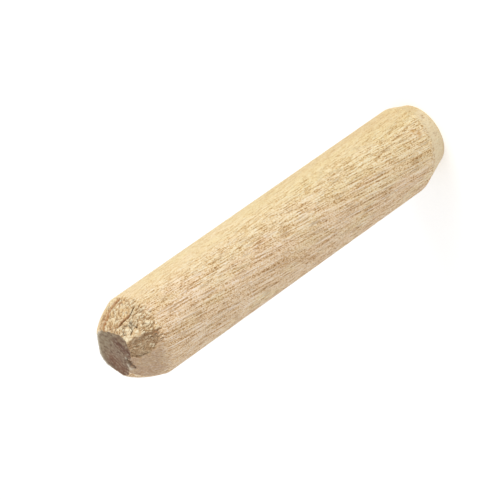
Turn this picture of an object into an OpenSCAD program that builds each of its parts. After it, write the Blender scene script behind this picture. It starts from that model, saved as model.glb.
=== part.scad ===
// Wooden dowel pin: one turned peg with a chamfer at each end, used and worn.
// Millimetres. +Z runs along the pin, and the origin is the middle of its lower end.
// The pin stands on its broad lower end. The upper end is worn narrow: flats of its
// chamfer have split away, and the grain between them has torn out in steps.

/* [Pin] */
// Diameter of the turned body, the size of the hole it is made for
pin_d = 8; // [6:0.5:12]
// Length from end face to end face
pin_l = 40; // [25:1:80]

/* [Lower end] */
// How far the lower chamfer comes in from the side of the pin
lower_in = 0.9; // [0.5:0.1:1.5]
// How far the lower chamfer runs along the pin
lower_along = 2.5; // [1.5:0.1:4]
// How far off the middle of the pin the lower chamfer was cut
lower_runout = 0.34; // [0:0.02:0.4]
// Compass direction of the lower run-out, in degrees from +X
lower_runout_dir = -27; // [-180:1:180]
// Radius of the chips along the lower rim
chip_r = 0.45; // [0.3:0.05:0.7]
// Depth of the chips along the lower rim
chip_depth = 0.18; // [0.1:0.02:0.3]

/* [Upper end] */
// How far the upper chamfer comes in from the side of the pin
upper_in = 1.6; // [1.2:0.05:2.2]
// How far the upper chamfer runs along the pin
upper_along = 3.2; // [2.6:0.1:4]
// How far the upper chamfer bulges past a straight cone
upper_bulge = 0.2; // [0.1:0.05:0.35]
// How far off the middle of the pin the upper chamfer was cut
upper_runout = 0.16; // [0:0.02:0.3]
// Compass direction of the upper run-out, in degrees from +X
upper_runout_dir = -50; // [-180:1:180]

/* [Split and torn grain] */
// How far the deepest flat takes in the edge of the upper face
flat_in = 0.58; // [0.3:0.02:0.7]
// Depth of a step of torn grain, measured in from the chamfer
tear_depth = 0.16; // [0.08:0.02:0.3]
// Width of a plain step of torn grain
tear_w = 1.2; // [0.7:0.1:1.8]
// Width of the nick in the edge of the upper face
nick_w = 0.7; // [0.4:0.1:1]
// How far the nick runs down the pin
nick_along = 0.55; // [0.3:0.05:0.8]

/* [Hidden] */

$fn = 96;
// what an end's envelope reaches past the pin
past = 1;
// what a cutter reaches past the chamfer that it cuts
clear = 0.15;
// how far inside the side of the pin the arc of the upper chamfer ends
land = 0.06;
pin_r = pin_d / 2;
lower_face_r = pin_r - lower_in;
upper_face_r = pin_r - upper_in;
upper_axis = upper_runout * [cos(upper_runout_dir), sin(upper_runout_dir)];

// The upper chamfer is an arc of revolution. Its chord runs from the edge of the
// face to the nominal rim, and the bulge is the height of the arc over the chord.
chord = norm([upper_in, upper_along]);
chord_angle = atan2(upper_in, upper_along);
arc_r = chord * chord / (8 * upper_bulge) + upper_bulge / 2;
arc_centre_r = pin_r - upper_in / 2 - (arc_r - upper_bulge) * cos(chord_angle);
arc_centre_z = pin_l - upper_along / 2 - (arc_r - upper_bulge) * sin(chord_angle);
// The arc stops short of the side all the way round, and a cone goes on from there.
// A ring that crossed the side would leave a poor seam.
face_angle = acos((upper_face_r - arc_centre_r) / arc_r);
join_angle = acos((pin_r - upper_runout - land - arc_centre_r) / arc_r);
// bands of cone that make up the arc
bands = 4;

// Radius of the upper chamfer about its own axis, at a depth below the upper face
function upper_r(depth) =
    arc_centre_r + sqrt(arc_r * arc_r - pow(pin_l - depth - arc_centre_z, 2));

// Depth below the upper face at which the upper chamfer has a radius
function upper_depth(r) =
    pin_l - arc_centre_z - sqrt(arc_r * arc_r - pow(r - arc_centre_r, 2));

// Height of the lower rim, where the off-axis cone meets the side of the pin
function lower_rim_z(dir) =
    (lower_in - lower_runout * cos(dir - lower_runout_dir)) * lower_along / lower_in;

// Flats where the grain split away from the upper chamfer:
// [direction, how far in at the face, share of the chamfer that it runs down,
// how far to one side it stops at a wall of standing grain, or 0 for no wall]
flats = [
    [-150, flat_in, 0.8, 0],
    [-105, 0.18, 0.78, 0.5],
    [-31, 0.34, 0.7, 0],
    [48, 0.25, 0.6, 0],
    [125, 0.2, 0.6, 0],
];
// Steps of torn grain, on the chamfer that still stands between the flats:
// [direction, share of the chamfer above the ledge, width in plain steps, twist]
tears = [
    [10, 0.24, 0.6, 9], [-66, 0.22, 0.8, 12],
    [-2, 0.55, 0.7, -8], [-76, 0.5, 0.9, -6],
    [14, 0.78, 0.8, 10], [-62, 0.8, 1.3, -5],
];
// Direction of the nick, in the edge that the deepest flat leaves on the upper face
nick_dir = -148;
// Slant of the splinter that left the nick
nick_slant = 24;
// Directions of the chips along the lower rim
chip_dirs = [-58, -100, -20];

// What the lower chamfer leaves: a cone that opens upwards past the pin's side
module lower_envelope() {
    wide = pin_r + lower_runout + past;
    cone_h = (wide - lower_face_r) * lower_along / lower_in;
    rotate([0, 0, lower_runout_dir])
        translate([lower_runout, 0, 0])
        rotate_extrude()
            polygon([
                [0, 0], [lower_face_r, 0], [wide, cone_h],
                [wide, pin_l + past], [0, pin_l + past],
            ]);
}

// What the upper chamfer leaves: an arc, and below it a steep cone. One outline
// draws them all, so that each ring between two bands is a single edge.
module upper_envelope() {
    wide = pin_r + upper_runout + past;
    step = (face_angle - join_angle) / bands;
    arc = [
        for (i = [0 : bands])
            [arc_centre_r, arc_centre_z]
                + arc_r * [cos(join_angle + i * step), sin(join_angle + i * step)]
    ];
    cone_h = (wide - arc[0].x) / tan(join_angle);
    rotate([0, 0, upper_runout_dir])
        translate([upper_runout, 0, 0])
        rotate_extrude()
            polygon(concat(
                [[0, -past], [wide, -past], [wide, arc[0].y - cone_h]], arc, [[0, pin_l]]
            ));
}

// A flat where the grain split away. It takes in the edge of the face and runs out
// on the chamfer, so the cutter's inner side is the flat.
module flat(dir, in, share, wall) {
    run = share * upper_along;
    out = upper_r(run) - upper_face_r + in;
    lean = atan2(out, run);
    span = norm([out, run]) + clear;
    reach = sqrt(2 * pin_r * (in + upper_bulge));
    side = wall > 0 ? wall : reach;
    translate([upper_axis.x, upper_axis.y, pin_l])
        rotate([0, 0, dir])
            translate([upper_face_r - in, 0, 0])
                rotate([0, -lean, 0])
                    translate([0, -reach, -span])
                        cube([in + upper_bulge + clear, reach + side, span + clear]);
}

// One step of torn grain. The grain splits flat and parallel to the pin, so the
// cutter runs straight up from its ledge to where the chamfer curves in past it.
module tear(dir, share, width, twist) {
    ledge = share * upper_along;
    w = width * tear_w;
    floor_r = upper_r(ledge) - tear_depth;
    lean = w / 2 * sin(abs(twist));
    fade = upper_depth(floor_r - lean);
    translate([upper_axis.x, upper_axis.y, pin_l - ledge])
        rotate([0, 0, dir])
            translate([floor_r, 0, 0])
                rotate([0, 0, twist])
                    translate([0, -w / 2, 0])
                        cube([tear_depth + lean + clear, w, ledge - fade + clear]);
}

// The nick where a splinter left the edge of the upper face
module nick() {
    translate([upper_axis.x, upper_axis.y, pin_l])
        rotate([0, 0, nick_dir])
            translate([upper_face_r - flat_in, 0, 0])
                rotate([nick_slant, 45, 0])
                    cube([nick_along, nick_w, nick_along], center = true);
}

// A chip in the lower rim
module chip(dir) {
    out = pin_r + chip_r - chip_depth;
    translate([out * cos(dir), out * sin(dir), lower_rim_z(dir)]) sphere(r = chip_r);
}

module dowel_pin() {
    color("#dcc59c")
        difference() {
            intersection() {
                cylinder(r = pin_r, h = pin_l);
                lower_envelope();
                upper_envelope();
            }
            for (f = flats) flat(f[0], f[1], f[2], f[3]);
            for (t = tears) tear(t[0], t[1], t[2], t[3]);
            nick();
            for (dir = chip_dirs) chip(dir);
        }
}

dowel_pin();
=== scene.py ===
# %% [markdown]
# # A turned wooden dowel pin
# A dowel pin is a plug of pale hardwood, 8 mm thick and 40 mm long, turned from a square stick and chamfered
# at both ends so that it starts easily in its hole. This one has been used: its upper end is grey with dirt
# and worn narrow, and the chamfer cutter has torn the grain on one side.
# The exact body is loaded first. It fixes every size and place in what follows.

# %% The body that the looks are built around
from math import cos, radians, sin, tan

import bpy
import numpy as np
from mathutils import Matrix, Vector, noise
from mathutils.bvhtree import BVHTree


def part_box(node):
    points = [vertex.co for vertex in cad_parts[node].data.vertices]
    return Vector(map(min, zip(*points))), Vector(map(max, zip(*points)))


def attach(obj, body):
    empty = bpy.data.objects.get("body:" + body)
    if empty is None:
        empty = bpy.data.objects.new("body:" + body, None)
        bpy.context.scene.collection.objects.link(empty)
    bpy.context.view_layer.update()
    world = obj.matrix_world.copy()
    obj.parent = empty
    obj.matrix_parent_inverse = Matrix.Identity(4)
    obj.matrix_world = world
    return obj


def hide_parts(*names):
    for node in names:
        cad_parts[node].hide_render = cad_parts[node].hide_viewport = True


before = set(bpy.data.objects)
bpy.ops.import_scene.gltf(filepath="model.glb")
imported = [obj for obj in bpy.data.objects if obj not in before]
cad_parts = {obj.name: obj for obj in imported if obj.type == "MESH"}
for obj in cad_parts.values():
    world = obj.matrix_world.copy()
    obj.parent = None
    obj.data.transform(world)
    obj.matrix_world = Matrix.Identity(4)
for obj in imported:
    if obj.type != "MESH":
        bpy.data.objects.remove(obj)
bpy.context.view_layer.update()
cad_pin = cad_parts["dowel_pin"]
MM = 0.001
low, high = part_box("dowel_pin")
pin_r = (high.x - low.x) / 2
pin_l = high.z - low.z
middle = (low + high) / 2
print(f"the pin is {pin_l / MM:.1f} mm long and {2 * pin_r / MM:.2f} mm thick")

# %% [markdown]
# ## The camera
# The pin is seen from a little over a third of a right angle above its side, and the camera is rolled, so
# that the pin runs from the lower left of the frame to its upper right with the worn end nearest. A long lens
# from about 30 cm keeps the perspective slight: the near end looks only a little larger than the far one.

# %% Camera
look_down = radians(33.97)
pin_slant = radians(35.15)
camera_distance = 309 * MM
aim_right, aim_up = -2.04 * MM, -0.69 * MM
lens, film_width = 250.6, 36
nearest_seen, farthest_seen = 10 * MM, 10

camera_data = bpy.data.cameras.new("camera")
camera_data.lens = lens
camera_data.sensor_width = film_width
camera_data.clip_start = nearest_seen
camera_data.clip_end = farthest_seen
camera = bpy.data.objects.new("camera", camera_data)
bpy.context.scene.collection.objects.link(camera)
tilt = Matrix.Rotation(radians(90) - look_down, 4, "X")
roll = Matrix.Rotation(-(radians(90) + pin_slant), 4, "Z")
turn = tilt @ roll
right, up, back = (turn.to_3x3() @ Vector(v) for v in ((1, 0, 0), (0, 1, 0), (0, 0, 1)))
camera_place = middle + back * camera_distance + right * aim_right + up * aim_up
camera.matrix_world = Matrix.Translation(camera_place) @ turn
bpy.context.scene.camera = camera
print("camera at", [round(v / MM) for v in camera_place], "mm")

# %% [markdown]
# ## Light and floor
# One broad soft lamp stands on the pin's brighter side, a little under 30 degrees up, and the white room
# fills in the rest, so that the darker side keeps about seven tenths of the light. Together they give a
# surface that faces the lamp the colour it is written with. The floor is pale paper. A brighter lamp would
# take it to white but would wash out the wood, so the paper glows a little instead. Only the camera sees that
# glow, straight on, in a gloss or through glass. It lights nothing, so the pin's soft shadow stays on the
# paper.


# %% A colour and a node
def colour(code):
    """An sRGB hex colour as the linear values that a shader works in."""
    parts = [int(code[i:i + 2], 16) / 255 for i in (1, 3, 5)]
    return tuple(c / 12.92 if c <= 0.04045 else ((c + 0.055) / 1.055) ** 2.4 for c in parts) + (1.0,)


def add_node(tree, kind, inputs=(), stops=(), **settings):
    """Adds a node with its settings, its inputs' values or links, and the stops of a colour ramp."""
    added = tree.nodes.new("ShaderNode" + kind)
    for name, value in settings.items():
        setattr(added, name, value)
    for name, value in dict(inputs).items():
        if isinstance(value, bpy.types.NodeSocket):
            tree.links.new(value, added.inputs[name])
        else:
            added.inputs[name].default_value = value
    if stops:
        elements = added.color_ramp.elements
        while len(elements) < len(stops):
            elements.new(0.5)
        for element, (position, code) in zip(elements, stops):
            element.position = position
            element.color = colour(code)
    return added


print("mid grey #808080 is", round(colour("#808080")[0], 3), "to a shader")

# %% Lamp
key_direction, key_elevation = radians(-35), radians(28)
key_distance, key_size = 450 * MM, 300 * MM
key_power = 0.65

towards_key = Vector((
    cos(key_elevation) * cos(key_direction),
    cos(key_elevation) * sin(key_direction),
    sin(key_elevation),
))
key_data = bpy.data.lights.new("key", "AREA")
key_data.shape = "DISK"
key_data.size = key_size
key_data.energy = key_power
key = bpy.data.objects.new("key", key_data)
bpy.context.scene.collection.objects.link(key)
key_turn = towards_key.to_track_quat("Z", "Y").to_matrix().to_4x4()
key.matrix_world = Matrix.Translation(middle + towards_key * key_distance) @ key_turn
print("lamp at", [round(v / MM) for v in key.matrix_world.translation], "mm")

# %% The two things round the pin, and what is seen of them straight on, in a gloss or through glass
world = bpy.data.worlds.new("white room")
paper = bpy.data.materials.new("matt white paper")
seen_of = {}
for surroundings in (world, paper):
    surroundings.use_nodes = True
    tree = surroundings.node_tree
    ray = add_node(tree, "LightPath")
    seen = ray.outputs["Is Camera Ray"]
    for kind in ("Is Glossy Ray", "Is Transmission Ray"):
        either = add_node(tree, "Math", {0: seen, 1: ray.outputs[kind]}, operation="MAXIMUM")
        seen = either.outputs[0]
    seen_of[surroundings.name] = seen
print("seen apart from the light they give:", ", ".join(seen_of))

# %% Room
room_light = 0.77
white = (1, 1, 1, 1)

bpy.context.scene.world = world
tree = world.node_tree
level = add_node(tree, "MapRange", {"Value": seen_of[world.name], "To Min": room_light, "To Max": 1.0})
tree.links.new(level.outputs["Result"], tree.nodes["Background"].inputs["Strength"])
tree.nodes["Background"].inputs["Color"].default_value = white
print(f"the room looks white and lights the pin with {room_light:.0%} of that")

# %% Floor
floor_size = 6
paper_white = 0.8
paper_glow = 0.40

bpy.ops.object.select_all(action="DESELECT")
bpy.ops.mesh.primitive_plane_add(size=floor_size, location=(0, 0, low.z))
floor = bpy.context.active_object
floor.name = "floor"
tree = paper.node_tree
glow = add_node(tree, "Math", {0: seen_of[paper.name], 1: paper_glow}, operation="MULTIPLY")
sheet = tree.nodes["Principled BSDF"]
sheet.inputs["Base Color"].default_value = (paper_white, paper_white, paper_white, 1)
sheet.inputs["Roughness"].default_value = 1.0
sheet.inputs["Specular IOR Level"].default_value = 0.0
sheet.inputs["Emission Color"].default_value = white
tree.links.new(glow.outputs[0], sheet.inputs["Emission Strength"])
floor.data.materials.append(paper)
bpy.context.scene.view_settings.view_transform = "Standard"
print("floor", floor_size, "m across, at height", round(low.z / MM, 3), "mm")

# %% [markdown]
# ## The turned blank
# On the lathe the pin is a plain rod first, and each end is then cut in. The mesh starts the same way: a
# cylinder is added and cut across where the chamfers begin, and rings are cut into it. It has so many narrow
# sides that a fibre of wood, a tenth of a millimetre wide, can be raised or torn out. Every point is then
# drawn straight in to the exact body, at its own height and in its own direction, so that the edge of each
# end face stays an edge. A smooth mesh with a bump pattern would look right from far off, but its outline
# would be too clean.

# %% A cylinder, cut across below each chamfer
hair = 0.002 * MM
segments = 420
lower_band, upper_band = 3.6 * MM, 4.0 * MM

bpy.ops.object.select_all(action="DESELECT")
bpy.ops.mesh.primitive_cylinder_add(vertices=segments, radius=pin_r, depth=pin_l, location=(0, 0, middle.z))
pin = bpy.context.active_object
pin.name = "turned_pin"
bpy.ops.object.transform_apply(location=True)
bpy.ops.object.mode_set(mode="EDIT")
for cut_at in (low.z + lower_band, high.z - upper_band):
    bpy.ops.mesh.select_all(action="SELECT")
    bpy.ops.mesh.bisect(plane_co=(0, 0, cut_at), plane_no=(0, 0, 1), threshold=hair)
bpy.ops.object.mode_set(mode="OBJECT")
print(len(pin.data.vertices), "points in the blank")


# %% Rings along the side, close together on the chamfers
def select(kind, chosen):
    """Selects the edges or faces that pass a test, and nothing else."""
    bpy.ops.object.mode_set(mode="EDIT")
    bpy.ops.mesh.select_mode(type={"edges": "EDGE", "polygons": "FACE"}[kind])
    bpy.ops.mesh.select_all(action="DESELECT")
    bpy.ops.object.mode_set(mode="OBJECT")
    for part in getattr(pin.data, kind):
        part.select = chosen(part)
    bpy.ops.object.mode_set(mode="EDIT")


def spans(edge, bottom, top):
    """True for an edge that runs from one height to another."""
    ends = sorted(pin.data.vertices[i].co.z for i in edge.vertices)
    return abs(ends[0] - bottom) < hair and abs(ends[1] - top) < hair


lower_cuts, side_cuts, upper_cuts = 29, 123, 61
for bottom, top, cuts in (
    (low.z, low.z + lower_band, lower_cuts),
    (low.z + lower_band, high.z - upper_band, side_cuts),
    (high.z - upper_band, high.z, upper_cuts),
):
    select("edges", lambda e: spans(e, bottom, top))
    bpy.ops.mesh.subdivide(number_cuts=cuts)
    bpy.ops.object.mode_set(mode="OBJECT")
    print(f"rings {(top - bottom) / MM / (cuts + 1):.2f} mm apart")

# %% Rings across the end faces
lower_rings, upper_rings = 13, 24
for end, rings in ((low.z, lower_rings), (high.z, upper_rings)):
    select("polygons", lambda f: len(f.vertices) == segments and abs(f.center.z - end) < hair)
    for _ in range(rings):
        bpy.ops.mesh.inset(thickness=pin_r / (rings + 1), depth=0)
    bpy.ops.mesh.poke()
    bpy.ops.object.mode_set(mode="OBJECT")
triangles = sum(len(f.vertices) - 2 for f in pin.data.polygons)
print(triangles, "triangles in the pin")

# %% Every point drawn in to the exact body
blank = np.empty(len(pin.data.vertices) * 3)
pin.data.vertices.foreach_get("co", blank)
blank = blank.reshape(-1, 3)
share = np.hypot(blank[:, 0], blank[:, 1]) / pin_r
direction = np.degrees(np.arctan2(blank[:, 1], blank[:, 0]))
body = BVHTree.FromPolygons(
    [v.co for v in cad_pin.data.vertices],
    [f.vertices for f in cad_pin.data.polygons],
)


def reach(towards, at):
    """How far the exact body reaches from its axis, in a direction and at a height."""
    out = Vector((cos(radians(towards)), sin(radians(towards)), 0))
    inside = min(max(at, low.z + hair), high.z - hair)
    return 2 * pin_r - body.ray_cast(out * 2 * pin_r + Vector((0, 0, inside)), -out)[3]


turn_by = 360 / segments
ring_at = np.unique(np.round(blank[:, 2], 7))
rings = np.array([[reach(i * turn_by - 180, z) for i in range(segments)] for z in ring_at]) / MM
nearest, farthest = rings[-1].min(), rings[-1].max()
print(f"{len(ring_at)} rings; the upper face reaches {nearest:.2f} to {farthest:.2f} mm out")


# %% Corners between the flats worn round, and the foot of the ledge filled with splinters
def evened(rows, each_way):
    """Each ring's reach, averaged over a few points each way."""
    window = np.hanning(2 * each_way + 3)[1:-1]
    wrapped = np.concatenate((rows[:, -each_way:], rows, rows[:, :each_way]), axis=1)
    return np.array([np.convolve(ring, window / window.sum(), "valid") for ring in wrapped])


ledge_foot = (-112, -82)
foot_points, corner_points = 4, 12
corner_wear = 0.35

sharp = rings.copy()
ledge = slice(*(round((180 + d) / turn_by) for d in ledge_foot))
rings[:, ledge] = evened(rings, foot_points)[:, ledge]
rings -= corner_wear * np.maximum(rings - evened(rings, corner_points), 0)

row = np.searchsorted(ring_at, np.round(blank[:, 2], 7))
column = (np.round(direction / turn_by).astype(int) + segments // 2) % segments
radius = rings[row, column]
height = (blank[:, 2] - low.z) / MM
top = pin_l / MM
on_side = share > 1 - hair / pin_r
print("corners and ledge worn by up to", round(float((sharp - rings).max()), 2), "mm")

# %% [markdown]
# ## Where each point lies
# Wood has a direction, and so have its faults. Each point gets its height along the pin, its direction round
# it, and its place in the grain. A point of an end face also knows the point of the edge that it lies behind,
# so that a splinter missing from the edge leaves the face behind it whole. The fibres don't run quite along
# this pin: they lean a few degrees to one side, which is why the pores show as short dashes and why the
# cutter lifted the grain there.

# %% The skin and the grain
grain_lean, grain_lean_direction = radians(6.5), radians(-22)

facing = np.column_stack((np.cos(np.radians(direction)), np.sin(np.radians(direction))))
skin = np.column_stack((radius[:, None] * facing, height))
drift = np.array((cos(grain_lean_direction), sin(grain_lean_direction), 0)) * tan(grain_lean)
grain = skin - height[:, None] * drift
print("the grain drifts", round(tan(grain_lean) * top, 1), "mm sideways from end to end")

# %% Soft noise, crooked lines and broken pieces
# Blender's noise seldom passes 0.6 either way, so it is scaled up. The shifts keep one seed from the next.
noise_gain = 1.6
noise_shift = np.array((13.7, 5.3, 9.1))
piece_shift = np.array((4.1, 7.9, 2.3))
piece_apart = 37


def smooth_step(value, start, end):
    """0 before start, 1 after end, and an even rise between them; start may be the larger."""
    part = np.clip((value - start) / (end - start), 0, 1)
    return part * part * (3 - 2 * part)


def mottle(where, across, along, seed):
    """Soft noise from about -1 to 1, with features this many millimetres across and along the grain."""
    spread = np.array((across, across, along))
    shift = noise_shift * seed
    return np.array([noise.noise(Vector(p)) for p in where / spread + shift]) * noise_gain


def creases(where, across, along, seed, width):
    """1 on thin crooked lines with about this spacing in millimetres, and 0 between them."""
    return np.clip(1 - np.abs(mottle(where, across, along, seed)) / width, 0, 1)


def fragments(where, across, along, seed):
    """A level from 0 to 1 for each broken piece, this many millimetres across and along the grain."""
    spread = np.array((across, across, along))
    shift = piece_shift * seed
    centres = [noise.voronoi(Vector(p), distance_metric="DISTANCE")[1][0] for p in where / spread + shift]
    return np.array([noise.cell(c * piece_apart) * 0.5 + 0.5 for c in centres])


ragged = mottle(grain, 0.3, 0.6, 1)
splintered = mottle(grain, 0.13, 2.0, 2)
print("the ragged noise goes from", ragged.min().round(2), "to", ragged.max().round(2))

# %% [markdown]
# ## Torn grain
# The exact body has the flats of the upper chamfer, where the grain split away. What is left between them is
# rough. On the side that faced the cutter the fibres broke out in lumps, with a long crack through the
# middle. Beside them lies a lower, browner patch, and beyond a second ledge the last flat was left smooth.
# Places here are directions round the pin, in degrees, and heights, in millimetres. Sculpting by hand would
# do as well, but a few named lines and a noise that follows the grain can be changed and run again.

# %% The ledges and the foot of the torn grain
long_crack = [(-47, 40), (-51, 39.4), (-53, 39), (-57, 38.6), (-55, 38.1), (-52, 37.6)]
first_ledge = [(-88, 40), (-88, 39.2), (-91, 38.7), (-92, 38.1), (-96, 37.3)]
second_ledge = [
    (-120, 40), (-125, 39.7), (-126, 39.3), (-124, 38.9), (-120, 38.4), (-115, 37.9), (-108, 37.4),
]
torn_foot = [
    (-125, 37.6), (-106, 37.5), (-98, 37.4), (-79, 37.3), (-65, 37.1),
    (-45, 37.1), (-33, 37.3), (-22, 37.3), (-8, 37.7), (20, 38.3), (40, 38.4),
]
first_wobble, second_wobble, foot_wobble = 2.5, 3, 0.40


def line_at(places):
    """The direction of a line that runs down the chamfer, at every point's height."""
    at, towards = zip(*sorted((h, d) for d, h in places))
    return np.interp(height, at, towards)


first = line_at(first_ledge) + first_wobble * ragged
second = line_at(second_ledge) + second_wobble * ragged
foot = np.interp(direction, *zip(*torn_foot)) + foot_wobble * splintered
print(f"the torn grain starts {foot.min():.1f} to {foot.max():.1f} mm up")

# %% The parts of the upper chamfer
torn_to, torn_fade = 2, 6
foot_below, foot_above = 0.06, 0.10
ledge_soft = 0.7
shade_from, shade_to = 9, 1
clean_soft, clean_foot, clean_wobble = 1.5, 37.45, 0.35
clean_below, clean_above = 0.7, 0.6

on_chamfer = smooth_step(height, foot - foot_below, foot + foot_above)
lumps = on_chamfer * smooth_step(direction, first - ledge_soft, first + ledge_soft)
lumps *= smooth_step(direction, torn_to + torn_fade, torn_to)
# A painted shadow: a brown band on the split patch just below the first ledge, where the ledge shades it.
shade_under_ledge = smooth_step(direction, first - shade_from, first - shade_to)
shade_under_ledge = shade_under_ledge * smooth_step(direction, first + 1, first - 1) * on_chamfer
patch = on_chamfer * smooth_step(direction, first + ledge_soft, first - ledge_soft)
patch *= smooth_step(direction, second - ledge_soft, second + ledge_soft)
smooth_foot = clean_foot + clean_wobble * splintered
clean = smooth_step(direction, second + clean_soft, second - clean_soft)
clean *= smooth_step(height, smooth_foot - clean_below, smooth_foot + clean_above)
print("torn points:", int(lumps.sum()), "in lumps and", int(patch.sum()), "in the split patch")

# %% Cracks in painted shade, stains, and chips with a painted highlight, each a line of places with its width and greatest depth
cracks = [
    (long_crack, 0.20, 0.15),
    ([(-15, 39.7), (-17, 39.2), (-18, 38.6), (-21, 38.1)], 0.12, 0.07),
    ([(-33, 39.9), (-37, 39.4), (-35, 38.8)], 0.10, 0.07),
    ([(-41, 38.6), (-46, 38.45), (-51, 38.3)], 0.12, 0.08),
    ([(-64, 38.72), (-66, 38.84), (-71, 38.80), (-76, 38.64)], 0.30, 0.20),
    ([(-60, 39.3), (-65, 39.06), (-71, 38.98), (-76, 39.15), (-79, 39.45)], 0.18, 0.17),
    ([(-60, 39.3), (-63, 39.6), (-69, 39.74), (-74, 39.65)], 0.15, 0.11),
    ([(-78, 38.2), (-82, 37.9)], 0.12, 0.08),
    ([(-60, 38.05), (-62, 37.65), (-64, 37.4)], 0.09, 0.04),
    ([(-101, 38.1), (-100, 37.8), (-104, 37.5)], 0.12, 0.06),
    ([(-119, 39.9), (-123, 39.6), (-124, 39.2), (-121, 38.8)], 0.15, 0.08),
    ([(-100, 39.6), (-103, 39.2)], 0.14, 0.07),
]
stains = [
    ([(-10, 39.9), (-12, 39.2), (-14, 38.5), (-17, 37.9), (-20, 37.4)], 0.56, 0.10),
    ([(-3, 39.9), (-5, 39.2), (-6, 38.6)], 0.34, 0.08),
    ([(10, 39.7), (8, 39.0), (9, 38.5)], 0.26, 0.08),
    ([(-30, 39.9), (-32, 39.5)], 0.22, 0.05),
    ([(-39, 39.75), (-48, 39.5), (-54, 39.3)], 0.26, 0.08),
    ([(-50, 39.3), (-54, 38.8), (-56, 38.5)], 0.42, 0.04),
    ([(-97, 37.7), (-103, 37.55)], 0.22, 0.02),
    ([(-29, 37.9), (-31, 37.5)], 0.30, 0.03),
]
# These chips get a painted highlight.
highlight_chips = [
    ([(-68, 39.42), (-70, 39.30)], 0.56, 0),
    ([(-109, 38.45), (-111, 38.2)], 0.20, 0),
    ([(-113, 38.35), (-115, 38.15)], 0.15, 0),
    ([(-96, 38.3), (-98, 38.1)], 0.14, 0),
    ([(-102, 39.7), (-104, 39.55)], 0.15, 0),
    ([(-100, 39.2), (-102, 39.05)], 0.14, 0),
]
print(len(cracks), "cracks,", len(stains), "stains and", len(highlight_chips), "light chips")

# %% Each of these lines drawn on the points that it passes
chamfer_r = 3.2
crook_round, crook_along = 0.05, 0.07
crook_size = (0.16, 0.22)
crook_u = crook_round * mottle(grain, *crook_size, 21)
crook_v = crook_along * mottle(grain, *crook_size, 22)


def on_line(u, v, path, width):
    """1 along a line of places, and 0 from half a width away from it."""
    u, v = u + crook_u, v + crook_v
    nearest = np.full(len(u), np.inf)
    for (u0, v0), (u1, v1) in zip(path, path[1:]):
        step_u, step_v = u1 - u0, v1 - v0
        along = np.clip(((u - u0) * step_u + (v - v0) * step_v) / (step_u ** 2 + step_v ** 2), 0, 1)
        nearest = np.minimum(nearest, np.hypot(u - u0 - along * step_u, v - v0 - along * step_v))
    return smooth_step(nearest, width / 2, 0)


# The cracks are drawn in painted shade, darker the deeper they are, so the shallowest cracks are the faintest
# ones.
faintest_crack, darkens_with_depth = 0.6, 1.6
chamfer_from = 37

around = np.radians(direction) * chamfer_r
crack_shade, stained, light, line_depth = (np.zeros(len(height)) for _ in range(4))
for lines, seen, faintest in (
    (cracks, crack_shade, faintest_crack),
    (stains, stained, 1.0),
    (highlight_chips, light, 1.0),
):
    for path, width, deepest in lines:
        unrolled = [(radians(d) * chamfer_r, h) for d, h in path]
        line = on_line(around, height, unrolled, width) * (height > chamfer_from)
        np.maximum(seen, line * min(1, faintest + darkens_with_depth * deepest), out=seen)
        np.maximum(line_depth, line * deepest, out=line_depth)
print("the deepest crack is", round(float(line_depth.max()), 2), "mm deep")

# %% The forms of the torn grain: broken pieces, chips on them, and splits and nibbles between them
torn_above = 36.6
piece_size, chip_size = (0.24, 0.60), (0.13, 0.30)
split_size, nibble_size = (0.26, 0.60), (0.14, 0.30)
split_width, nibble_width = 0.50, 0.60

near_end = height > torn_above
piece, chip, split, nibble = (np.zeros(len(height)) for _ in range(4))
here = grain[near_end]
piece[near_end] = fragments(here, *piece_size, 1)
chip[near_end] = fragments(here, *chip_size, 2)
split[near_end] = smooth_step(creases(here, *split_size, 12, split_width), 0.45, 0.85)
nibble[near_end] = smooth_step(creases(here, *nibble_size, 13, nibble_width), 0.45, 0.90)
clean_grain = np.clip(mottle(grain, 0.14, 2.0, 8), -1, 1)
print(int(near_end.sum()), "points lie near the torn end")

# %% How deep each point of the torn grain lies
# The depth in millimetres that each form adds, first on the lumps and then on the split patch.
lump_piece, lump_chip, lump_split, lump_nibble, lump_proud = 0.12, 0.06, 0.10, 0.05, 0.05
patch_piece, patch_chip, patch_split, patch_nibble, patch_sunk = 0.05, 0.07, 0.05, 0.06, 0.02
clean_cut = 0.016
calmer_by = 0.4

lump_depth = lump_piece * piece + lump_chip * chip + lump_split * split + lump_nibble * nibble
lump_depth = np.clip(lump_depth - lump_proud, 0, 1)
patch_depth = patch_sunk + patch_piece * piece + patch_chip * chip
patch_depth = patch_depth + patch_nibble * nibble + patch_split * split
clean_depth = clean_cut + clean_cut * clean_grain
# One corner of the lumps, by the first ledge, is calmer, and the chips with a painted highlight stand
# highest.
calm = smooth_step(direction, -72, -79) * smooth_step(height, 38.5, 38.9)
lump_depth *= (1 - calmer_by * calm) * (1 - light)
torn_depth = lumps * lump_depth + patch * patch_depth + clean * clean_depth + line_depth * (lumps + patch)
print("torn in by up to", round(float(torn_depth.max()), 2), "mm")

# %% [markdown]
# ## The turned side
# Along the side the cutter opened the wood's pores. They show as short dark grooves about a tenth of a
# millimetre wide, with raised fibres between them. They follow the grain. On the side that it leans towards
# the fibres lie flat, so the pores are few and the wood looks smooth.

# %% Pores and raised fibres
pore_cut, fibre_cut = 0.018, 0.011
fewest_pores = 0.35
pore_edge, pore_heart = 0.46, 0.78

open_front = smooth_step(direction, -30, -75) * (direction < 0)
open_back = smooth_step(direction, 60, 120) * (direction > 0)
crowd = fewest_pores + (1 - fewest_pores) * (open_front + open_back)
pore_noise = mottle(grain, 0.09, 2.2, 4) + 0.05 * mottle(grain, 0.9, 5.0, 9)
pores = smooth_step(pore_noise, pore_edge, pore_heart)
ridge = np.clip(mottle(grain, 0.13, 5.0, 5), -1, 1)
print(f"{np.mean(pores > 0.5):.1%} of the points lie in a pore")
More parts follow.
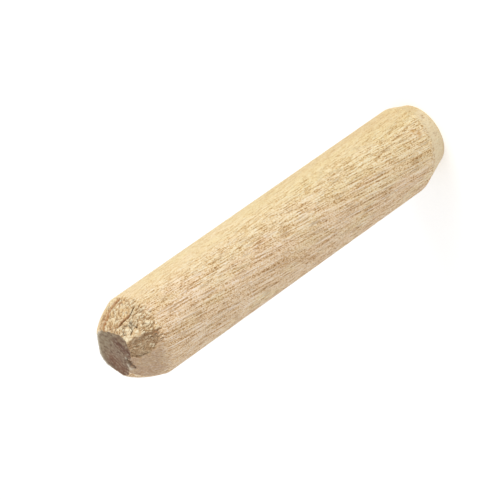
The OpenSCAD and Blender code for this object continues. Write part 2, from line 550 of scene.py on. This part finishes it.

# %% [markdown]
# ## The lower chamfer
# This chamfer was cut clean and is hardly worn. It is paler than the side and almost smooth, with two short
# pits where a fibre lifted, and two soft brown spots near its rim. The grain shows again where the cutter met
# it from the other side. The exact body already has its slanted rim and the chips in it, so it only gets
# marks and very shallow pits.

# %% The lower chamfer, its pits in painted shade, and its spots
pits = [(-67, 0.80, 0.36, 0.05), (-96, 0.80, 0.34, 0.05)]
spots = [(-85, 2.78, 0.46), (-76, 3.07, 0.34)]
pit_r, pit_wobble = 3.4, 0.16
spot_r, spot_wobble = 3.8, 0.12
rim_gap, rim_wobble = 0.01, 0.10
chamfer_top, chamfer_fade = 4, 0.22
paler_without_grain, paler_between_streaks = 0.85, 0.60
ripple = 0.018

# The pits are drawn darker: painted shade in their dents.
pit_shade, spotted, pit_depth = (np.zeros(len(height)) for _ in range(3))
for towards, at, wide, deep in pits:
    away = np.hypot(np.radians(direction - towards) * pit_r, height - at)
    dent = smooth_step(away + pit_wobble * ragged, wide, wide / 4) * np.clip(0.75 + splintered, 0, 1)
    pit_shade = np.maximum(pit_shade, dent)
    pit_depth = np.maximum(pit_depth, dent * deep)
for towards, at, wide in spots:
    away = np.hypot(np.radians(direction - towards) * spot_r, height - at)
    spotted = np.maximum(spotted, smooth_step(away + spot_wobble * ragged, wide, wide / 4))
lower_edge = pin_r / MM - rim_gap - rim_wobble * np.clip(0.5 + ragged, 0, 1)
lower_chamfer = smooth_step(radius, lower_edge, lower_edge - chamfer_fade) * (height < chamfer_top)
grain_shows = smooth_step(direction + 10 * ragged, -62, -45) * smooth_step(direction, 120, 60)
pale_chamfer = lower_chamfer * (1 - paler_without_grain * grain_shows)
pale_chamfer *= 1 - paler_between_streaks * np.clip(0.3 + splintered, 0, 1)
chamfer_depth = lower_chamfer * (ripple * (1 + mottle(skin, 0.30, 0.45, 10)) + pit_depth)
print("the lower chamfer ends", round(float(height[lower_chamfer > 0].max()), 1), "mm up at most")

# %% [markdown]
# ## The worn upper face
# The upper face is worn a little hollow, with faint ridges along its year rings, and its edge is rounded and
# frayed. A splinter has left a nick in it, with a pale chip on each side. Depths are worked out point by
# point, because an inset or a bevel would give the same edge all the way round.

# %% The hollow face
year_rings, ring_stretch = radians(20), 0.2
worn_by, worn_unevenly, ring_relief = 0.050, 0.030, 0.022

flat_place = np.column_stack((facing * (radius * share)[:, None], height))
ring_along = flat_place[:, 0] * cos(year_rings) + flat_place[:, 1] * sin(year_rings)
ring_across = flat_place[:, 1] * cos(year_rings) - flat_place[:, 0] * sin(year_rings)
ring_place = np.column_stack((ring_across, ring_along * ring_stretch, ring_across * 0))
on_face = (height > top - hair / MM) & ~on_side
worn = worn_by + worn_unevenly * mottle(flat_place, 0.6, 0.6, 6)
worn = worn + ring_relief * mottle(ring_place, 0.13, 0.13, 7)
print("the face is worn up to", worn[on_face].max().round(2), "mm hollow")

# %% The nick and the chips beside it, as directions and distances from the axis
nick_marks = [
    ([(-141, 1.36), (-148, 1.44), (-154, 1.64), (-156, 1.92), (-163, 2.08)], 0.36, 0.20),
]
chip_marks = [
    ([(-133, 1.22), (-138, 1.28)], 0.36, 0),
    ([(-160, 1.55), (-164, 1.80), (-169, 2.0)], 0.40, 0),
]
nick_reach = 0.9

nicked, chipped, nick_depth = (np.zeros(len(height)) for _ in range(3))
near_face = height > top - nick_reach
for lines, seen in ((nick_marks, nicked), (chip_marks, chipped)):
    for path, width, deepest in lines:
        places = [(r * cos(radians(d)), r * sin(radians(d))) for d, r in path]
        line = on_line(flat_place[:, 0], flat_place[:, 1], places, width) * near_face
        np.maximum(seen, line, out=seen)
        np.maximum(nick_depth, line * deepest, out=nick_depth)
print("the nick is cut", round(float(nick_depth.max()), 2), "mm deeper")

# %% The rounded, frayed edge
drop_from, edge_from = 0.40, 0.30
round_off, fray_drop, torn_drop = 0.03, 0.03, 0.09
round_in, torn_in = 0.02, 0.07

torn_side = smooth_step(direction, -125, -110) * smooth_step(direction, 30, 15)
edge_noise = np.clip(0.5 + 0.6 * mottle(skin, 0.20, 0.20, 11), 0, 1)
near_edge = smooth_step(height, top - drop_from, top)
edge_drop = near_edge * (round_off + edge_noise * (fray_drop + torn_drop * torn_side))
edge_drop = edge_drop * (height > top - drop_from)
near_edge = smooth_step(height, top - edge_from, top) ** 2
edge_in = near_edge * (round_in + torn_in * edge_noise * torn_side) * (height > top - edge_from)
print("the edge drops by up to", round(float(edge_drop.max()), 2), "mm")

# %% Every point moved
crease_angle = radians(60)
edge_pull = 8

turned = (1 - lumps) * (1 - patch) * (1 - clean) * (1 - lower_chamfer)
side_depth = turned * (pore_cut * pores * crowd + fibre_cut * crowd * (1 - ridge))
behind_edge = np.where(on_side, 1, share ** edge_pull)
inwards = np.maximum(side_depth + torn_depth + chamfer_depth, 0) + edge_in
inwards *= behind_edge * (height > hair / MM)
downwards = edge_drop * behind_edge + on_face * worn * (1 - behind_edge) + near_face * nick_depth
r_now = np.maximum(radius * share - inwards, 0)
z_now = np.clip(height - downwards, 0, top)
points = np.column_stack((facing * r_now[:, None], z_now)) * MM
points[:, 2] += low.z
pin.data.vertices.foreach_set("co", points.ravel())
pin.data.update()
bpy.ops.object.select_all(action="DESELECT")
pin.select_set(True)
bpy.context.view_layer.objects.active = pin
bpy.ops.object.shade_smooth_by_angle(angle=crease_angle)
below = (sharp[row, column] - r_now)[on_side]
print(f"the side lies up to {below.max():.2f} mm below the exact body and {-below.min():.2f} mm above it")

# %% Marks for the material, one value at each point
# The weights say how much of each form shows in a mark.
# Painted shade: the splits, nibbles and deepest pieces of the torn grain are drawn darker in the crevice
# mark.
torn_shade = np.clip((0.95 - 0.3 * patch) * split + 0.55 * nibble + 0.35 * smooth_step(piece, 0.7, 1), 0, 1)
paler = smooth_step(direction, -50, -66) * (1 - patch)
# A painted highlight on the proudest pieces of the torn grain.
torn_highlight = smooth_step(0.6 * piece + 0.4 * chip - 0.20 * paler, 0.62, 0.28)
torn_highlight = torn_highlight * (1 - split) * (1 - 0.5 * nibble)
crevice_shade = torn_shade * (lumps + 0.7 * patch) * (1 - 0.7 * calm) * (1 - 0.15 * paler)
chamfer_grain = lower_chamfer * np.maximum(0.8 * grain_shows, 0.60)
rim_light = smooth_step(share, 0.86, 0.97) * on_face + (on_side & (height > top - 0.02))
bare_rim = rim_light * smooth_step(direction, -6, 8) * smooth_step(direction, 125, 95)

marks_at = {
    "lumps": lumps * on_side,
    "patch": patch * on_side,
    "shade_under_ledge": shade_under_ledge * (0.6 + 0.4 * ragged) * on_side,
    "clean": clean * (1 - 0.30 * clean_grain) * on_side,
    "crevice_shade": np.clip(crevice_shade, 0, 1) * on_side,
    "lump_top_highlight": np.maximum(torn_highlight * (lumps + 0.30 * patch), light * (lumps + patch)) * on_side,
    "stain": stained * (lumps + patch) * on_side,
    # The crack mark is painted shade in the cracks of the torn grain and in the nick.
    "crack": np.clip(crack_shade * (lumps + patch) * on_side + nicked, 0, 1),
    "pore": pores * crowd * (turned + 0.4 * clean) * on_side,
    "open_grain": crowd * np.maximum(turned, chamfer_grain) + 0.60 * clean,
    "chamfer": pale_chamfer,
    "shaded_pit": pit_shade * lower_chamfer,
    "spot": spotted * (height < chamfer_top),
    "worn_face": on_face,
    "bare_edge": np.clip(bare_rim + chipped, 0, 1),
}
for name, values in marks_at.items():
    layer = pin.data.attributes.new(name, "FLOAT", "POINT")
    layer.data.foreach_set("value", values.astype(np.float32))
print(len(marks_at), "marks:", ", ".join(marks_at))

# %% [markdown]
# ## The wood
# Birch or beech, bare and unsealed: pale straw with no gloss. A painted tint of the light makes it a little
# yellower on the side that faces the lamp and pinker on the side away from it. The colour changes at several
# sizes: broad tints a few millimetres wide, streaks and dashes along the fibres, and a fine grit of torn
# cells.
# Pores and the dirt on the worn face are darker. The crevices, cracks, pits and the foot of the first ledge
# get painted shade, and the proudest torn pieces a painted highlight. The marks made above say where each
# belongs.
# A picture of wood wrapped round the pin would show a seam and the wrong grain on the chamfers, so the
# pattern is worked out in the pin's own space.

# %% Wood, and its place in the grain
# A Mix node has a socket for each kind of value. These are the ones for colours.
HELD, UNDER, OVER, MIXED = 0, 6, 7, 2

wood = bpy.data.materials.new("bare turned birch")
wood.use_nodes = True
tree = wood.node_tree
surface = tree.nodes["Principled BSDF"]
coords = add_node(tree, "TexCoord")
fibre_way = Vector((drift[0], drift[1], 1))
upright = fibre_way.rotation_difference(Vector((0, 0, 1))).to_euler()
in_grain = add_node(tree, "Mapping", {
    "Vector": coords.outputs["Object"], "Rotation": upright, "Scale": (1 / MM,) * 3,
})
print("the grain is turned upright by", *(f"{np.degrees(a):.1f}" for a in upright), "degrees")

# %% Grain: streaks, dashes and grit, added up
# Each size is across and along the grain, in millimetres, then its weight and its detail.
grain_sizes = {
    "bundle": (0.22, 9.0, 0.07, 1.0),
    "streak": (0.095, 7.0, 0.42, 0.5),
    "dash": (0.085, 0.45, 0.05, 0.5),
    "grit": (0.11, 0.13, 0.44, 0.5),
}
smooth_strength, open_strength = 0.16, 0.60
noise_from, noise_to = 0.28, 0.72
mid_tone = 0.52

total = 0.0
for name, (across, along, weight, detail) in grain_sizes.items():
    scale = (1 / across, 1 / across, 1 / along)
    spread = add_node(tree, "Mapping", {"Vector": in_grain.outputs["Vector"], "Scale": scale})
    pattern = add_node(tree, "TexNoise", {"Vector": spread.outputs["Vector"], "Scale": 1.0, "Detail": detail})
    part = add_node(tree, "MapRange", {
        "Value": pattern.outputs["Fac"], "From Min": noise_from, "From Max": noise_to,
        "To Min": -weight, "To Max": weight,
    })
    total = add_node(tree, "Math", {0: total, 1: part.outputs["Result"]}, operation="ADD").outputs[0]
open_mark = add_node(tree, "Attribute", attribute_name="open_grain")
strength = add_node(tree, "MapRange", {
    "Value": open_mark.outputs["Fac"], "To Min": smooth_strength, "To Max": open_strength,
})
swing = add_node(tree, "Math", {
    0: total, 1: strength.outputs["Result"], 2: mid_tone,
}, operation="MULTIPLY_ADD")
grain_ramp = add_node(tree, "ValToRGB", {"Fac": swing.outputs[0]}, [
    (0.00, "#8f6737"), (0.16, "#b98f5b"), (0.34, "#e2c394"), (0.48, "#f4ddb3"),
    (0.62, "#fae9c8"), (0.80, "#fff3da"), (1.0, "#fff8e8"),
])
base = grain_ramp.outputs["Color"]
print("grain patterns:", ", ".join(f"{name} {size[0]} mm wide" for name, size in grain_sizes.items()))

# %% Open pores: thin dark dashes
# A pore is 0.05 to 0.1 mm wide. It is drawn 0.09 mm wide, because a thinner line would not show.
pore_scale = (11.5, 11.5, 0.5)
pore_from, pore_to, pore_most = 0.61, 0.68, 0.42

pore_place = add_node(tree, "Mapping", {
    "Vector": in_grain.outputs["Vector"], "Location": (7, 3, 5), "Scale": pore_scale,
})
pore_pattern = add_node(tree, "TexNoise", {
    "Vector": pore_place.outputs["Vector"], "Scale": 1.0, "Detail": 0.0,
})
pore_dash = add_node(tree, "MapRange", {
    "Value": pore_pattern.outputs["Fac"], "From Min": pore_from, "From Max": pore_to, "To Max": pore_most,
})
pore_held = add_node(tree, "Math", {
    0: pore_dash.outputs["Result"], 1: open_mark.outputs["Fac"],
}, operation="MULTIPLY")
base = add_node(tree, "Mix", {
    HELD: pore_held.outputs[0], UNDER: base, OVER: colour("#a87c45"),
}, data_type="RGBA").outputs[MIXED]
print(f"a pore is {1 / pore_scale[0]:.2f} mm wide and about {1 / pore_scale[2]:.0f} mm long")

# %% Broad tints at random, and a painted tint of the light: straw on the side that faces the lamp, rosier on the far side
tint_scale = (0.8, 0.8, 0.22)
tint_from, tint_to, tint_swing = 0.3, 0.7, 0.22
tint_reach = 3.0

tint_place = add_node(tree, "Mapping", {"Vector": in_grain.outputs["Vector"], "Scale": tint_scale})
tint = add_node(tree, "TexNoise", {"Vector": tint_place.outputs["Vector"], "Scale": 1.0, "Detail": 2.0})
grain_axes = add_node(tree, "SeparateXYZ", {"Vector": in_grain.outputs["Vector"]})
# A painted tint of the light: straw on the +X side, which faces the lamp, and pinker on the far side. The
# noise adds random tones.
painted_lamp_side_tint = add_node(tree, "MapRange", {
    "Value": grain_axes.outputs["X"], "From Min": tint_reach, "From Max": -tint_reach,
})
tint_part = add_node(tree, "MapRange", {
    "Value": tint.outputs["Fac"], "From Min": tint_from, "From Max": tint_to,
    "To Min": -tint_swing, "To Max": tint_swing,
})
tint_sum = add_node(tree, "Math", {
    0: painted_lamp_side_tint.outputs["Result"], 1: tint_part.outputs["Result"],
}, operation="ADD")
tint_ramp = add_node(tree, "ValToRGB", {"Fac": tint_sum.outputs[0]}, [
    (0.0, "#f8f1de"), (0.2, "#fdfae7"), (0.5, "#fffbee"), (0.8, "#fff9f0"), (1.0, "#fff6f4"),
])
base = add_node(tree, "Mix", {
    HELD: 1.0, UNDER: base, OVER: tint_ramp.outputs["Color"],
}, data_type="RGBA", blend_type="MULTIPLY").outputs[MIXED]
print("the tint changes over about", round(1 / tint_scale[0], 1), "mm across the grain")

# %% Marks laid over the wood, each with its colour and how much of it shows
marks = [
    ("chamfer", "#ffefcc", 0.72),
    ("spot", "#cb9445", 0.62),
    ("lumps", "#edcb96", 0.74),
    ("patch", "#9f7c56", 0.84),
    # A painted shadow below the first ledge.
    ("shade_under_ledge", "#84592f", 0.22),
    ("clean", "#ab8b74", 0.62),
    # A painted highlight on the proud pieces and the chips.
    ("lump_top_highlight", "#fff2d0", 0.88),
    # Painted shade in the splits and crevices of the torn grain.
    ("crevice_shade", "#8c5e2d", 0.70),
    ("stain", "#a9692b", 0.76),
    ("pore", "#9a7341", 0.45),
    # Painted shade in the cracks and the nick.
    ("crack", "#5c3d22", 0.86),
    # Painted shade in the pits of the lower chamfer.
    ("shaded_pit", "#b58249", 0.72),
    ("bare_edge", "#e9dfca", 0.70),
]
for name, code, most in marks:
    mark = add_node(tree, "Attribute", attribute_name=name)
    held = add_node(tree, "Math", {0: mark.outputs["Fac"], 1: most}, operation="MULTIPLY")
    base = add_node(tree, "Mix", {
        HELD: held.outputs[0], UNDER: base, OVER: colour(code),
    }, data_type="RGBA").outputs[MIXED]
print("laid over the wood in turn:", ", ".join(name for name, _, _ in marks))

# %% [markdown]
# ## Dirt on the worn face
# End grain drinks in dirt, so the worn face is grey-brown. The year rings still show as bands across it, and
# the dirt lies unevenly over them. One band, on the side by the torn grain, is drawn dark and reddish. The
# bands are a colour ramp across the face, shifted by noise so that they aren't straight. One more layer of
# noise makes the dirt blotchy.

# %% The bands of the year rings
band_reach, band_shift = 2.4, 0.55
grey_from, grey_to, grey_most = 0.3, 1.2, 0.85

in_mm = add_node(tree, "Mapping", {
    "Vector": coords.outputs["Object"], "Rotation": (0, 0, -year_rings), "Scale": (1 / MM,) * 3,
})
ring_axes = add_node(tree, "SeparateXYZ", {"Vector": in_mm.outputs["Vector"]})
wobble = add_node(tree, "TexNoise", {"Vector": in_grain.outputs["Vector"], "Scale": 1.6, "Detail": 4.0})
shifted = add_node(tree, "MapRange", {
    "Value": wobble.outputs["Fac"], "To Min": -band_shift, "To Max": band_shift,
})
ring_way = add_node(tree, "Math", {
    0: ring_axes.outputs["Y"], 1: shifted.outputs["Result"],
}, operation="ADD")
ring_share = add_node(tree, "MapRange", {
    "Value": ring_way.outputs[0], "From Min": -band_reach, "From Max": band_reach,
})
bands = add_node(tree, "ValToRGB", {"Fac": ring_share.outputs["Result"]}, [
    (0.0, "#8f7a61"), (0.14, "#8a6e54"), (0.20, "#64412f"), (0.26, "#724e37"), (0.33, "#8b735d"),
    (0.52, "#917963"), (0.66, "#84624a"), (0.78, "#7d5942"), (1.0, "#74604b"),
])
end_share = add_node(tree, "MapRange", {
    "Value": ring_axes.outputs["X"], "From Min": grey_from, "From Max": grey_to, "To Max": grey_most,
})
face_base = add_node(tree, "Mix", {
    HELD: end_share.outputs["Result"], UNDER: bands.outputs["Color"], OVER: colour("#968469"),
}, data_type="RGBA").outputs[MIXED]
print("the bands spread over", 2 * band_reach, "mm")

# %% Dirt over the bands, darker and lighter than they are
grime_scale = (3.2, 5.5, 5.5)

grime_place = add_node(tree, "Mapping", {"Vector": in_mm.outputs["Vector"], "Scale": grime_scale})
grime = add_node(tree, "TexNoise", {
    "Vector": grime_place.outputs["Vector"], "Scale": 1.0, "Detail": 5.0, "Roughness": 0.7,
})
for code, start, end, most in (("#573c2c", 0.48, 0.38, 0.72), ("#b7aa94", 0.53, 0.62, 0.56)):
    share_of = add_node(tree, "MapRange", {
        "Value": grime.outputs["Fac"], "From Min": start, "From Max": end, "To Max": most,
    })
    face_base = add_node(tree, "Mix", {
        HELD: share_of.outputs["Result"], UNDER: face_base, OVER: colour(code),
    }, data_type="RGBA").outputs[MIXED]
face_mark = add_node(tree, "Attribute", attribute_name="worn_face")
base = add_node(tree, "Mix", {
    HELD: face_mark.outputs["Fac"], UNDER: base, OVER: face_base,
}, data_type="RGBA").outputs[MIXED]
print("a blotch of dirt is about", round(1 / grime_scale[0], 1), "mm long")

# %% A chip of clean wood and the rim, rubbed bare, and the crack of the nick in painted shade
for name, code, most in (("bare_edge", "#d6cbb6", 0.80), ("crack", "#54402f", 0.8)):
    mark = add_node(tree, "Attribute", attribute_name=name)
    on_it = add_node(tree, "Math", {
        0: mark.outputs["Fac"], 1: face_mark.outputs["Fac"],
    }, operation="MULTIPLY")
    held = add_node(tree, "Math", {0: on_it.outputs[0], 1: most}, operation="MULTIPLY")
    base = add_node(tree, "Mix", {
        HELD: held.outputs[0], UNDER: base, OVER: colour(code),
    }, data_type="RGBA").outputs[MIXED]
print(len(tree.nodes), "nodes so far")

# %% Finish: dull, with the grain just raised
wood_roughness = 0.72
bump_strength, bump_height = 0.6, 0.04 * MM

tree.links.new(base, surface.inputs["Base Color"])
surface.inputs["Roughness"].default_value = wood_roughness
bump = add_node(tree, "Bump", {"Height": total, "Strength": bump_strength, "Distance": bump_height})
tree.links.new(bump.outputs["Normal"], surface.inputs["Normal"])
pin.data.materials.clear()
pin.data.materials.append(wood)
print("the pin is", wood.name)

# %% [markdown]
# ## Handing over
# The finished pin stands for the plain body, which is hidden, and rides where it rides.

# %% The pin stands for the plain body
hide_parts("dowel_pin")
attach(pin, "root")
